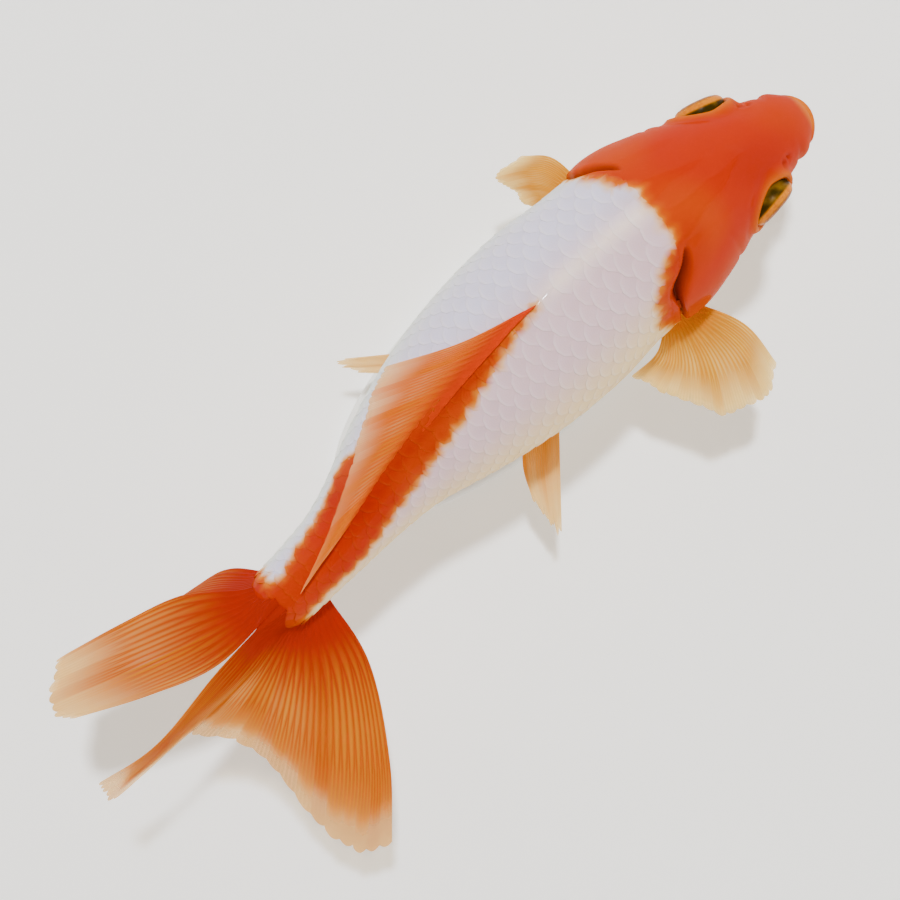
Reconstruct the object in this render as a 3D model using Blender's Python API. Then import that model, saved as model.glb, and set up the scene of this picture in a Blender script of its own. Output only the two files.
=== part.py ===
"""Red-and-white goldfish with a doubled tail, life size, still, on a plain display stand.

Axes: +X towards the snout, +Y to the fish's left, +Z up.
Origin: the middle of the stand's underside.
Lengths at the top are in millimetres; everything is built in metres.
"station" is the distance along the spine, from the snout back to the tail root.
"angle" goes round the body: 0 on the back, 90 on the left side, 180 on the belly, 270 on the right.
"""
import math

import bmesh
import bpy
import numpy as np

MM = 0.001
GAP = 0.3                     # clearance between neighbouring solids

# ---- body ----------------------------------------------------------------------------------
AXIS_HEIGHT = 40.0            # the spine line above the surface that the stand is on
SNOUT_X = 43.7
SNOUT_Y = -2.2
TAIL_ROOT = 93.0              # station of the end of the tail stalk
NOSE_LENGTH = 5.0             # the snout rounds off elliptically over this length
NOSE_START = 0.12             # station of the first ring, just behind the snout's tip
# station, half width, height above the centre, depth below it, rise of the centre
BODY_SECTIONS = (
    (0.0, 4.4, 4.3, 4.0, -1.9),
    (5.0, 5.3, 6.6, 6.3, -1.5),
    (10.0, 7.3, 9.4, 9.2, -1.0),
    (18.0, 10.0, 12.8, 12.7, -0.5),
    (28.5, 12.3, 15.5, 16.0, 0.0),
    (31.0, 11.9, 16.1, 16.6, 0.0),
    (42.0, 12.5, 17.7, 17.8, 0.0),
    (52.0, 12.0, 17.4, 17.7, 0.0),
    (62.0, 10.2, 15.1, 15.3, 0.0),
    (72.0, 7.4, 11.6, 11.1, 0.0),
    (80.0, 5.6, 8.6, 8.0, 0.0),
    (93.0, 4.6, 6.6, 6.5, 0.0),
)
# station, heading of the spine (degrees to the left of +X), lean of the back to the left
BODY_BEND = (
    (0.0, -5.0, 6.0),
    (12.0, -4.5, 6.0),
    (24.0, -2.5, 7.0),
    (38.0, 0.0, 7.0),
    (60.0, 1.5, 3.0),
    (67.0, 5.0, 1.5),
    (73.0, 11.0, 0.0),
    (79.0, 10.5, 0.0),
    (85.0, 5.0, 0.0),
    (93.0, 3.0, 0.0),
)
SIDES = 32                    # facets round the body
SPINE_STEP = 0.25

# ---- where the body is parted ----------------------------------------------------------------
# angle from the back, station of the head's rear border, which is the gill cover's edge
HEAD_BORDER = (
    (0.0, 22.5),
    (25.0, 23.0),
    (42.0, 24.8),
    (61.0, 28.4),
    (90.0, 30.2),
    (118.0, 29.2),
    (145.0, 25.0),
    (180.0, 18.5),
)
STALK_START = 74.0
GILL_FRONT = 19.0             # front edge of the gill cover
GILL_TOP_ANGLE = 46.0
GILL_LOW_ANGLE = 148.0
GILL_THICKNESS = 1.1
GILL_PROUD = 0.2              # the cover stands this far out of the head
GILL_BOW = 2.6                # its front edge curves forwards by this much
GILL_GRID = 9                 # points across and along the cover
CUT_REACH = 2.0               # cutters run this far past the surface they open
GILL_REAR_GAP = 0.5           # clearance to the trunk, whose front face slants

# ---- eyes ---------------------------------------------------------------------------------------
EYE_STATION = 12.0
EYE_SIDE = 7.3                # centre of the eyeball from the spine
EYE_RISE = 2.0
EYE_RADII = (3.3, 2.8, 3.3)   # along the head, sideways, upwards
EYE_RINGS = 10
EYE_SIDES = 20

# ---- fins -------------------------------------------------------------------------------------------
FIN_ROOT_THICKNESS = 0.9
FIN_TIP_THICKNESS = 0.55
FIN_LIFT = 0.75               # root line above the body's surface
# Fins are ruled by a few rays. A ray is its root, given as (station, angle) on the body,
# and then points (x, y, z), with z measured from the spine line.
DORSAL_RAYS = (
    ((44.5, 0.0), (-10.5, 4.4, 16.9), (-19.6, 8.6, 15.0)),
    ((51.0, 0.0), (-15.3, 4.0, 16.1), (-22.9, 7.3, 14.4)),
    ((58.0, 0.0), (-20.4, 2.9, 14.9), (-26.7, 5.1, 13.2)),
    ((65.0, 0.0), (-26.0, 1.0, 13.2), (-31.1, 2.3, 11.6)),
    ((72.0, 0.0), (-33.0, -1.2, 10.9), (-37.5, -1.3, 9.6)),
    ((79.0, 0.0), (-40.8, -4.0, 8.9), (-46.6, -5.3, 8.0)),
)
PECTORAL_RIGHT_RAYS = (
    ((27.8, 232.0), (19.8, -17.9, -10.2), (19.6, -25.2, -11.0)),
    ((28.6, 234.0), (17.0, -19.6, -10.9), (15.2, -27.6, -12.0)),
    ((29.4, 235.5), (13.2, -18.4, -11.4), (9.7, -25.2, -12.8)),
    ((30.2, 236.5), (10.3, -15.8, -11.8), (6.2, -18.5, -13.2)),
    ((31.0, 237.0), (9.0, -13.1, -11.8), (4.1, -13.3, -13.0)),
)
PECTORAL_LEFT_RAYS = (
    ((27.8, 124.0), (15.9, 15.0, -11.4), (12.9, 18.6, -12.6)),
    ((28.6, 126.0), (13.6, 15.0, -13.0), (8.5, 18.9, -15.0)),
    ((29.4, 127.5), (12.6, 13.6, -14.8), (9.4, 16.4, -18.4)),
    ((30.2, 129.0), (12.0, 12.2, -16.4), (9.6, 14.2, -20.8)),
    ((31.0, 130.5), (11.6, 10.8, -17.0), (10.6, 11.6, -21.6)),
)
PELVIC_RIGHT_RAYS = (
    ((45.0, 196.0), (-8.0, -12.9, -19.2), (-17.0, -23.4, -20.2)),
    ((46.4, 195.0), (-11.4, -13.0, -19.8), (-17.1, -21.4, -20.9)),
    ((48.0, 194.0), (-13.4, -11.4, -20.0), (-16.6, -17.0, -21.0)),
)
PELVIC_LEFT_RAYS = (
    ((45.0, 164.0), (-13.0, 7.6, -20.4), (-23.2, 15.0, -21.4)),
    ((46.4, 165.0), (-13.6, 6.4, -21.4), (-24.0, 14.0, -23.2)),
    ((48.0, 166.0), (-13.0, 4.6, -21.6), (-20.6, 9.4, -24.4)),
)
ANAL_RAYS = (
    ((66.5, 6.0), (-31.0, 1.7, -20.2), (-35.4, 2.6, -24.6)),
    ((69.5, 6.0), (-34.6, 1.7, -18.4), (-39.6, 2.6, -22.2)),
    ((73.0, 6.0), (-37.6, 1.4, -14.6), (-41.0, 2.0, -16.6)),
)
ANAL_MIDDLE_Y = -3.2
# The tail's rays start behind the stalk, so all their points are (x, y, z).
CAUDAL_UPPER_RIGHT_RAYS = (
    ((-50.4, -5.1, 6.2), (-60.4, -6.0, 9.6), (-71.6, -7.2, 12.2), (-80.7, -5.8, 12.4)),
    ((-50.5, -5.5, 4.6), (-61.0, -6.8, 7.6), (-71.9, -7.8, 9.4), (-81.5, -7.2, 9.2)),
    ((-50.5, -5.9, 3.1), (-61.0, -7.6, 5.4), (-72.4, -8.2, 6.6), (-81.1, -8.9, 6.2)),
    ((-50.4, -6.4, 1.7), (-57.5, -8.2, 2.6), (-64.5, -8.8, 3.2), (-70.0, -8.9, 3.4)),
)
CAUDAL_LOWER_RIGHT_RAYS = (
    ((-50.5, -6.7, 0.2), (-57.0, -8.6, 1.2), (-63.4, -9.5, 1.6), (-69.3, -9.6, 1.3)),
    ((-50.4, -7.1, -1.4), (-56.0, -10.3, -1.4), (-61.2, -12.6, -2.0), (-66.2, -14.6, -2.6)),
    ((-49.9, -7.6, -2.9), (-54.8, -12.8, -3.8), (-60.4, -17.4, -5.0), (-65.8, -21.3, -6.2)),
    ((-48.6, -8.5, -4.2), (-52.6, -15.4, -5.8), (-59.6, -23.2, -8.0), (-66.5, -29.7, -9.8)),
    ((-46.9, -8.2, -5.4), (-49.6, -17.4, -7.6), (-57.4, -28.2, -10.6), (-66.0, -36.4, -12.6)),
    ((-45.3, -7.4, -6.2), (-47.0, -17.9, -8.8), (-54.1, -29.9, -11.6), (-61.6, -38.6, -13.6)),
)
CAUDAL_UPPER_LEFT_RAYS = (
    ((-50.4, -3.8, 6.2), (-59.4, -4.6, 9.4), (-68.6, -2.1, 10.6), (-78.2, 2.4, 10.0)),
    ((-50.5, -3.5, 4.6), (-60.0, -2.2, 8.2), (-70.0, 0.8, 9.6), (-79.5, 4.1, 9.2)),
    ((-50.5, -2.9, 3.1), (-59.5, 1.0, 6.6), (-69.0, 4.3, 8.4), (-77.9, 7.3, 8.0)),
    ((-50.4, -2.3, 1.7), (-57.5, 4.0, 4.6), (-66.6, 7.1, 6.2), (-74.9, 9.1, 6.3)),
)
CAUDAL_LOWER_LEFT_RAYS = (
    ((-50.4, -1.9, 0.2), (-56.6, 3.3, 2.2), (-63.6, 5.5, 2.8), (-69.5, 6.5, 2.4)),
    ((-50.2, -1.4, -1.5), (-56.0, 3.6, -1.6), (-63.0, 5.2, -3.6), (-69.6, 5.4, -6.0)),
    ((-50.0, -0.8, -3.3), (-55.0, 3.7, -5.0), (-62.0, 4.8, -8.6), (-70.6, 4.2, -12.0)),
    ((-48.8, 0.2, -5.2), (-52.8, 3.6, -8.0), (-60.0, 4.2, -11.6), (-68.5, 3.2, -15.0)),
)

# ---- stand --------------------------------------------------------------------------------------------
BASE_LENGTH = 74.0
BASE_WIDTH = 27.0
BASE_THICKNESS = 4.0
BASE_CHAMFER = 0.8
BASE_SIDES = 48
ROD_DIAMETER = 2.6
ROD_SIDES = 16
ROD_GAP = 0.45                # clearance between the belly and a rod's flat top
ROD_STATIONS = {"stand_rod_front": 34.0, "stand_rod_rear": 58.0}

# name, base colour, roughness, metallic
FINISHES = {
    "red_skin": ((0.86, 0.10, 0.01), 0.35, 0.0),
    "pearl_skin": ((0.80, 0.76, 0.74), 0.35, 0.0),
    "orange_fin": ((0.95, 0.30, 0.03), 0.45, 0.0),
    "eye_dark": ((0.10, 0.06, 0.01), 0.12, 0.0),
    "white_stand": ((0.88, 0.88, 0.86), 0.40, 0.0),
    "steel_rod": ((0.70, 0.70, 0.72), 0.30, 1.0),
}


# ---- curves --------------------------------------------------------------------------------------------
def smooth_table(table, positions):
    """Read every column of a table at the given positions with a cubic Hermite curve."""
    table = np.array(table, dtype=float)
    knots = table[:, 0]
    values = table[:, 1:]
    slopes = np.gradient(values, knots, axis=0)
    positions = np.clip(np.asarray(positions, dtype=float), knots[0], knots[-1])
    cell = np.clip(np.searchsorted(knots, positions, side="right") - 1, 0, len(knots) - 2)
    span = (knots[cell + 1] - knots[cell])[..., None]
    part = (positions[..., None] - knots[cell][..., None]) / span
    start = (2 * part**3 - 3 * part**2 + 1) * values[cell] + (part**3 - 2 * part**2 + part) * span * slopes[cell]
    end = (3 * part**2 - 2 * part**3) * values[cell + 1] + (part**3 - part**2) * span * slopes[cell + 1]
    return start + end


def spine_frame(station):
    """Plan position of the spine, its heading and the lean of the section, at each station."""
    steps = np.arange(0.0, TAIL_ROOT + 2 * SPINE_STEP, SPINE_STEP)
    heading = np.radians(smooth_table(BODY_BEND, steps)[:, 0])
    x = SNOUT_X - np.concatenate(([0.0], np.cumsum(np.cos(heading[:-1]) * SPINE_STEP)))
    y = SNOUT_Y - np.concatenate(([0.0], np.cumsum(np.sin(heading[:-1]) * SPINE_STEP)))
    bend = np.radians(smooth_table(BODY_BEND, station))
    return np.interp(station, steps, x), np.interp(station, steps, y), bend[..., 0], bend[..., 1]


def section_to_world(station, side, rise):
    """Place points of a cross-section: side is to the fish's left, rise is above the spine."""
    x, y, heading, lean = spine_frame(station)
    left = side * np.cos(lean) + rise * np.sin(lean)
    up = rise * np.cos(lean) - side * np.sin(lean)
    return np.stack((x - left * np.sin(heading), y + left * np.cos(heading), up + AXIS_HEIGHT), axis=-1)


def skin_point(station, angle, inset=0.0):
    """A point of the body's surface, moved in by the inset within its own cross-section."""
    station, angle = np.broadcast_arrays(np.asarray(station, float), np.radians(np.asarray(angle, float)))
    half_width, above, below, centre = np.moveaxis(smooth_table(BODY_SECTIONS, station), -1, 0)
    before_full = np.clip(1.0 - station / NOSE_LENGTH, 0.0, 1.0)
    nose = np.sqrt(1.0 - before_full**2)
    height = np.where(np.cos(angle) > 0, above, below)
    side = (half_width * nose - inset) * np.sin(angle)
    rise = centre + (height * nose - inset) * np.cos(angle)
    return section_to_world(station, side, rise)


def head_border(angle):
    """Station of the head's rear border at an angle round the body."""
    from_back = np.abs((np.asarray(angle, float) + 180.0) % 360.0 - 180.0)
    return smooth_table(HEAD_BORDER, from_back)[..., 0]


# ---- meshes --------------------------------------------------------------------------------------------
def finish_material(name):
    """A Principled material of one of the finishes."""
    material = bpy.data.materials.get(name)
    if material is None:
        colour, roughness, metallic = FINISHES[name]
        material = bpy.data.materials.new(name)
        material.use_nodes = True
        shader = material.node_tree.nodes["Principled BSDF"]
        shader.inputs["Base Color"].default_value = (*colour, 1.0)
        shader.inputs["Roughness"].default_value = roughness
        shader.inputs["Metallic"].default_value = metallic
    return material


def make_object(name, points, faces, finish, smooth=True):
    """A closed mesh object from points in millimetres."""
    mesh = bpy.data.meshes.new(name)
    mesh.from_pydata([tuple(point) for point in np.asarray(points) * MM], [], faces)
    mesh.materials.append(finish_material(finish))
    work = bmesh.new()
    work.from_mesh(mesh)
    bmesh.ops.triangulate(work, faces=work.faces)
    bmesh.ops.recalc_face_normals(work, faces=work.faces)
    work.to_mesh(mesh)
    work.free()
    if smooth:
        mesh.shade_smooth()
        mesh.set_sharp_from_angle(angle=math.radians(40))
    part = bpy.data.objects.new(name, mesh)
    bpy.context.scene.collection.objects.link(part)
    return part


def ring_stack(rings, front_point, rear_point):
    """Points and faces of a tube of rings, closed by a fan to a point at either end."""
    rows, sides = rings.shape[:2]
    points = np.concatenate((rings.reshape(-1, 3), [front_point, rear_point]))
    front = rows * sides
    rear = front + 1
    faces = []
    for column in range(sides):
        beside = (column + 1) % sides
        faces.append((front, beside, column))
        for row in range(rows - 1):
            here = row * sides
            there = here + sides
            faces.append((here + column, here + beside, there + beside, there + column))
        faces.append((rear, (rows - 1) * sides + column, (rows - 1) * sides + beside))
    return points, faces


def body_piece(name, start, end, rows, finish, crowding=1.0):
    """One length of the body, between two borders given as stations for every angle."""
    angle = np.arange(SIDES) * 360.0 / SIDES
    along = np.linspace(0.0, 1.0, rows)[:, None] ** crowding
    station = start(angle)[None, :] * (1.0 - along) + end(angle)[None, :] * along
    rings = skin_point(station, angle[None, :])
    front_station = float(np.mean(start(angle)))
    rear_station = float(np.mean(end(angle)))
    front = section_to_world(front_station, 0.0, smooth_table(BODY_SECTIONS, front_station)[3])
    rear = section_to_world(rear_station, 0.0, smooth_table(BODY_SECTIONS, rear_station)[3])
    if front_station < 1.0:
        front = section_to_world(0.0, 0.0, BODY_SECTIONS[0][4])
    return make_object(name, *ring_stack(rings, front, rear), finish)


def sheet_solid(name, middle, thickness, finish):
    """A closed plate of the given thickness round a grid of points."""
    across = np.gradient(middle, axis=0)
    along = np.gradient(middle, axis=1)
    normal = np.cross(across, along)
    normal /= np.linalg.norm(normal, axis=-1, keepdims=True)
    half = normal * thickness[..., None] / 2.0
    rows, columns = middle.shape[:2]
    count = rows * columns
    points = np.concatenate(((middle + half).reshape(-1, 3), (middle - half).reshape(-1, 3)))
    faces = []
    for row in range(rows - 1):
        for column in range(columns - 1):
            a = row * columns + column
            face = (a, a + 1, a + columns + 1, a + columns)
            faces.append(face)
            faces.append(tuple(count + index for index in reversed(face)))
    rim = [column for column in range(columns)]
    rim += [row * columns + columns - 1 for row in range(1, rows)]
    rim += [(rows - 1) * columns + column for column in range(columns - 2, -1, -1)]
    rim += [row * columns for row in range(rows - 2, 0, -1)]
    for index, point in enumerate(rim):
        beside = rim[(index + 1) % len(rim)]
        faces.append((point, point + count, beside + count, beside))
    return make_object(name, points, faces, finish)


def ray_grid(rays, ray_count, step_count):
    """Carry a smooth surface through a few rays, each a list of points from root to tip."""
    rays = np.array(rays, dtype=float)
    ray_places = np.linspace(0.0, len(rays) - 1.0, ray_count)
    step_places = np.linspace(0.0, rays.shape[1] - 1.0, step_count)
    flat = rays.reshape(len(rays), -1)
    dense = smooth_table(np.column_stack((np.arange(len(rays)), flat)), ray_places)
    dense = np.moveaxis(dense.reshape(ray_count, rays.shape[1], 3), 1, 0)
    flat = dense.reshape(rays.shape[1], -1)
    dense = smooth_table(np.column_stack((np.arange(rays.shape[1]), flat)), step_places)
    return np.moveaxis(dense.reshape(step_count, ray_count, 3), 0, 1)


def fin(name, rays, ray_count, step_count, finish="orange_fin", lift=FIN_LIFT):
    """A fin as a thin tapering plate. A two-number root is a place on the body."""
    full = []
    for ray in rays:
        points = [np.array(point, float) + (0.0, 0.0, AXIS_HEIGHT) for point in ray if len(point) == 3]
        if len(ray[0]) == 2:
            points.insert(0, skin_point(ray[0][0], ray[0][1], -lift))
        full.append(points)
    middle = ray_grid(full, ray_count, step_count)
    taper = np.linspace(FIN_ROOT_THICKNESS, FIN_TIP_THICKNESS, step_count)
    thickness = np.broadcast_to(taper, (ray_count, step_count))
    return sheet_solid(name, middle, thickness, finish)


def subtract(part, cutter):
    """Cut a closed shape out of a part, and drop the cutter."""
    cut = part.modifiers.new("cut", "BOOLEAN")
    cut.operation = "DIFFERENCE"
    cut.solver = "EXACT"
    cut.object = cutter
    evaluated = part.evaluated_get(bpy.context.evaluated_depsgraph_get())
    mesh = bpy.data.meshes.new_from_object(evaluated)
    part.modifiers.clear()
    part.data = mesh
    bpy.data.objects.remove(cutter)


def eyeball(name, side, growth, finish):
    """An eye, or its socket when grown: an ellipsoid set across the head."""
    along = np.linspace(0.0, math.pi, EYE_RINGS + 1)[1:-1, None]
    turn = np.arange(EYE_SIDES)[None, :] * 2.0 * math.pi / EYE_SIDES
    length, width, height = (radius + growth for radius in EYE_RADII)
    station = EYE_STATION + length * np.sin(along) * np.cos(turn)
    rise = EYE_RISE + height * np.sin(along) * np.sin(turn)
    outward = side * (EYE_SIDE + width * np.cos(along)) + 0.0 * turn
    outer = section_to_world(EYE_STATION, side * (EYE_SIDE + width), EYE_RISE)
    inner = section_to_world(EYE_STATION, side * (EYE_SIDE - width), EYE_RISE)
    rings = section_to_world(station, outward, rise)
    return make_object(name, *ring_stack(rings, outer, inner), finish)


# ---- the fish ------------------------------------------------------------------------------------------
def gill_plate(name, side, margin):
    """A gill cover's plate, or its recess when the margin is more than nothing."""
    cutting = margin > 0.0
    across = np.linspace(0.0, 1.0, GILL_GRID)[:, None]
    along = np.linspace(0.0, 1.0, GILL_GRID)[None, :]
    from_back = GILL_TOP_ANGLE + (GILL_LOW_ANGLE - GILL_TOP_ANGLE) * across
    bow = np.sin(math.pi * across)
    front = GILL_FRONT + GILL_BOW * (1.0 - bow) - margin
    rear = head_border(from_back) + (CUT_REACH if cutting else -GILL_REAR_GAP)
    station = front + (rear - front) * along
    one_degree = np.linalg.norm(skin_point(GILL_FRONT, 90.0) - skin_point(GILL_FRONT, 91.0))
    spread = margin / one_degree * (2.0 * across - 1.0)
    angle = (from_back + spread) * side
    reach = CUT_REACH if cutting else GILL_PROUD
    depth = GILL_THICKNESS + margin
    middle = skin_point(station, angle + 0.0 * along, (depth - reach) / 2.0)
    thickness = np.full(middle.shape[:2], depth + reach)
    return sheet_solid(name, middle, thickness, "red_skin")


def build_body():
    """Head, trunk and tail stalk, parted by thin cuts, with the gill covers and eyes let in."""
    half_gap = GAP / 2.0
    head = body_piece("head", lambda angle: np.full(SIDES, NOSE_START),
                      lambda angle: head_border(angle) - half_gap, 15, "red_skin", crowding=1.5)
    body_piece("trunk", lambda angle: head_border(angle) + half_gap,
               lambda angle: np.full(SIDES, STALK_START - half_gap), 16, "pearl_skin")
    body_piece("tail_stalk", lambda angle: np.full(SIDES, STALK_START + half_gap),
               lambda angle: np.full(SIDES, TAIL_ROOT), 6, "pearl_skin")
    for side, word in ((1, "left"), (-1, "right")):
        subtract(head, eyeball("socket", side, GAP, "red_skin"))
        eyeball("eye_" + word, side, 0.0, "eye_dark")
        subtract(head, gill_plate("recess", side, GAP))
        gill_plate("gill_cover_" + word, side, 0.0)


def build_fins():
    """Every fin, each lobe of the doubled tail on its own."""
    fin("dorsal_fin", DORSAL_RAYS, 14, 7)
    fin("pectoral_fin_right", PECTORAL_RIGHT_RAYS, 12, 7)
    fin("pectoral_fin_left", PECTORAL_LEFT_RAYS, 12, 7)
    fin("pelvic_fin_right", PELVIC_RIGHT_RAYS, 6, 7)
    fin("pelvic_fin_left", PELVIC_LEFT_RAYS, 6, 7)
    for side, word in ((1, "left"), (-1, "right")):
        rays = []
        for (station, off_middle), *points in ANAL_RAYS:
            shifted = [(x, ANAL_MIDDLE_Y + side * y, z) for x, y, z in points]
            rays.append(((station, 180.0 - side * off_middle), *shifted))
        fin("anal_fin_" + word, rays, 6, 6)
    fin("caudal_upper_right", CAUDAL_UPPER_RIGHT_RAYS, 8, 10)
    fin("caudal_lower_right", CAUDAL_LOWER_RIGHT_RAYS, 13, 10)
    fin("caudal_upper_left", CAUDAL_UPPER_LEFT_RAYS, 9, 10)
    fin("caudal_lower_left", CAUDAL_LOWER_LEFT_RAYS, 9, 10)


def build_stand():
    """A flat oval base with two rods up to the belly."""
    turn = np.arange(BASE_SIDES) * 2.0 * math.pi / BASE_SIDES
    rings = []
    for rise, inset in ((0.0, 0.0), (BASE_THICKNESS - BASE_CHAMFER, 0.0), (BASE_THICKNESS, BASE_CHAMFER)):
        x = (BASE_LENGTH / 2.0 - inset) * np.cos(turn)
        y = (BASE_WIDTH / 2.0 - inset) * np.sin(turn)
        rings.append(np.stack((x, y, np.full(BASE_SIDES, rise)), axis=-1))
    points, faces = ring_stack(np.array(rings), (0.0, 0.0, 0.0), (0.0, 0.0, BASE_THICKNESS))
    make_object("stand_base", points, faces, "white_stand")
    turn = np.arange(ROD_SIDES) * 2.0 * math.pi / ROD_SIDES
    for name, station in ROD_STATIONS.items():
        belly = skin_point(station, 180.0, -ROD_GAP)
        foot = np.array((belly[0], belly[1], BASE_THICKNESS + GAP))
        circle = np.stack((np.cos(turn), np.sin(turn), np.zeros(ROD_SIDES)), axis=-1) * ROD_DIAMETER / 2.0
        make_object(name, *ring_stack(np.array((foot + circle, belly + circle)), foot, belly), "steel_rod")


for old in list(bpy.data.objects):
    bpy.data.objects.remove(old)
build_body()
build_fins()
build_stand()
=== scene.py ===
import math

import bpy
import numpy as np
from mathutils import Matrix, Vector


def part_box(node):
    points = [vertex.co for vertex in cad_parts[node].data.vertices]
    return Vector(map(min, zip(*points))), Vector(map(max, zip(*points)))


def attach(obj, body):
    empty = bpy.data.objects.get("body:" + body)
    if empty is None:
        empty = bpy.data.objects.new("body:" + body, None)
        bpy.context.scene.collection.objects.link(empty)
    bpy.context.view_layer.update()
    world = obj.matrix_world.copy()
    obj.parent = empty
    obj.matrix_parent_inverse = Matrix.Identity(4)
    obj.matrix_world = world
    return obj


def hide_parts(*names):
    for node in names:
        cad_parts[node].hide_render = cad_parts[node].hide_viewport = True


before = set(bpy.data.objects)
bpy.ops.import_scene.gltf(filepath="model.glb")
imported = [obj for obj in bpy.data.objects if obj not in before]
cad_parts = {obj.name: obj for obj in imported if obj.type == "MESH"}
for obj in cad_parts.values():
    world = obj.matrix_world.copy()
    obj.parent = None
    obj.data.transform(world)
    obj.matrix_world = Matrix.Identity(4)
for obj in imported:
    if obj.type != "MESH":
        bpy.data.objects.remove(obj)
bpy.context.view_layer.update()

# A red-and-white goldfish with a doubled tail, held still on a plain display stand.
# +X is towards the snout, +Y is the fish's left, +Z is up. Lengths here are in millimetres.
# station: distance back along the spine from the snout
# angle: degrees round the body, 0 on the back, 90 on the left, 180 on the belly, -90 on the right

mm = 0.001
fish = {
    "axisHeight": 40.0,      # spine line above the floor
    "snoutX": 43.7,
    "snoutY": -2.2,
    "noseLength": 5.0,       # the snout rounds off over this length
    "tailRoot": 93.0,        # end of the stalk
    "tailRound": 4.5,        # the stalk rounds off over this length, between the fins
    "skinDepth": 0.32,       # the skin lies this far inside the outline
}
# station, half width, height, depth, rise of the middle
bodySections = (
    (0.0, 4.4, 4.3, 4.0, -1.9), (5.0, 5.3, 6.6, 6.3, -1.5), (10.0, 7.3, 9.4, 9.2, -1.0),
    (18.0, 10.0, 12.8, 12.7, -0.5), (28.5, 12.3, 15.5, 16.0, 0.0), (31.0, 11.9, 16.1, 16.6, 0.0),
    (42.0, 12.5, 17.7, 17.8, 0.0), (52.0, 12.0, 17.4, 17.7, 0.0), (62.0, 10.2, 15.1, 15.3, 0.0),
    (72.0, 7.4, 11.6, 11.1, 0.0), (80.0, 5.6, 8.6, 8.0, 0.0), (93.0, 4.6, 6.6, 6.5, 0.0),
    (100.0, 4.4, 6.4, 6.3, 0.0),
)
# station, heading of the spine to the left, lean of the back to the left
bodyBend = (
    (0.0, -5.0, 6.0), (12.0, -4.5, 6.0), (24.0, -2.5, 7.0), (38.0, 0.0, 7.0), (60.0, 1.5, 3.0),
    (67.0, 5.0, 1.5), (73.0, 11.0, 0.0), (79.0, 10.5, 0.0), (85.0, 5.0, 0.0), (93.0, 3.0, 0.0),
    (100.0, 3.0, 0.0),
)
# angle, station of the gill cover's free edge
gillEdge = (
    (0.0, 24.0), (30.0, 24.9), (42.0, 26.4), (61.0, 29.5), (78.0, 30.1), (90.0, 30.2),
    (118.0, 29.2), (145.0, 25.4), (180.0, 19.5),
)
# angle, station where the red of the head gives way to pearl
headMarking = (
    (-180.0, 21.0), (-140.0, 25.5), (-99.0, 31.0), (-71.0, 33.6), (-46.0, 31.6), (-33.0, 29.0),
    (-23.0, 26.0), (-14.0, 25.8), (1.0, 25.9), (13.0, 25.6), (25.0, 27.4), (66.0, 30.3),
    (100.0, 30.9), (140.0, 26.0), (180.0, 21.0),
)
# station, right and left edges of the red saddle as angles
saddleMarking = (
    (45.0, -1.0, 0.0), (51.5, -7.0, 2.0), (56.0, -12.0, 4.0), (61.0, -18.5, 7.0), (66.0, -24.5, 15.0),
    (70.5, -31.0, 34.0), (75.5, -37.0, 56.0), (80.0, -48.5, 50.0), (84.0, -57.0, 45.0),
    (88.0, -55.0, 37.0), (91.0, -60.0, 24.0), (93.0, -64.0, 30.0), (100.0, -70.0, 40.0),
)


def lin(*rgb):  # a colour as seen on a display, 0 to 255, turned into light
    c = np.array(rgb, float) / 255.0
    return np.where(c <= 0.04045, c / 12.92, ((c + 0.055) / 1.055) ** 2.4)


def ease(x, low, high):  # 0 below low, 1 above high, smooth between: 3t^2 - 2t^3
    t = np.clip((x - low) / (high - low), 0.0, 1.0)
    return t * t * (3.0 - 2.0 * t)


def bell(x, width):  # e^-(x / width)^2
    return np.exp(-(x / width) ** 2)


def speck(i):  # a repeatable random number from 0 to 1 for each whole number
    return np.modf(np.abs(np.sin(np.asarray(i, float) * 12.9898 + 4.137)) * 43758.5453)[0]


def mix(a, b, t):  # a where t is 0, b where t is 1, for arrays of colours
    return a + (b - a) * t[..., None]


waves = np.random.default_rng(11).normal(size=(12, 4))


def ripple(points, size):  # a soft field from -1 to 1: twelve sine waves in chosen directions
    phase = points @ waves[:, :3].T / size + waves[:, 3] * 9.0
    return np.sin(phase).mean(axis=-1) * 2.4


def smoothTable(table, at):  # a cubic Hermite curve through the rows of a table, slopes from neighbours
    table = np.array(table, float)
    knots = table[:, 0]
    values = table[:, 1:]
    slopes = np.gradient(values, knots, axis=0)
    at = np.clip(np.asarray(at, float), knots[0], knots[-1])
    cell = np.clip(np.searchsorted(knots, at, side="right") - 1, 0, len(knots) - 2)
    span = (knots[cell + 1] - knots[cell])[..., None]
    t = (at[..., None] - knots[cell][..., None]) / span
    first = (2 * t**3 - 3 * t**2 + 1) * values[cell] + (t**3 - 2 * t**2 + t) * span * slopes[cell]
    second = (3 * t**2 - 2 * t**3) * values[cell + 1] + (t**3 - t**2) * span * slopes[cell + 1]
    return first + second


def signedAngle(angle):
    return (np.asarray(angle, float) + 180.0) % 360.0 - 180.0


def toWorld(station, side, rise):  # a point of a cross-section, leaned over and then turned to its heading
    steps = np.arange(0.0, 100.0, 0.25)
    heading = np.radians(smoothTable(bodyBend, steps)[:, 0])
    x = fish["snoutX"] - np.concatenate(([0.0], np.cumsum(np.cos(heading[:-1]) * 0.25)))
    y = fish["snoutY"] - np.concatenate(([0.0], np.cumsum(np.sin(heading[:-1]) * 0.25)))
    bend = np.radians(smoothTable(bodyBend, station))
    heading = bend[..., 0]
    lean = bend[..., 1]
    left = side * np.cos(lean) + rise * np.sin(lean)
    up = rise * np.cos(lean) - side * np.sin(lean)
    px = np.interp(station, steps, x) - left * np.sin(heading)
    py = np.interp(station, steps, y) + left * np.cos(heading)
    return np.stack((px, py, up + fish["axisHeight"]), axis=-1)


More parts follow.
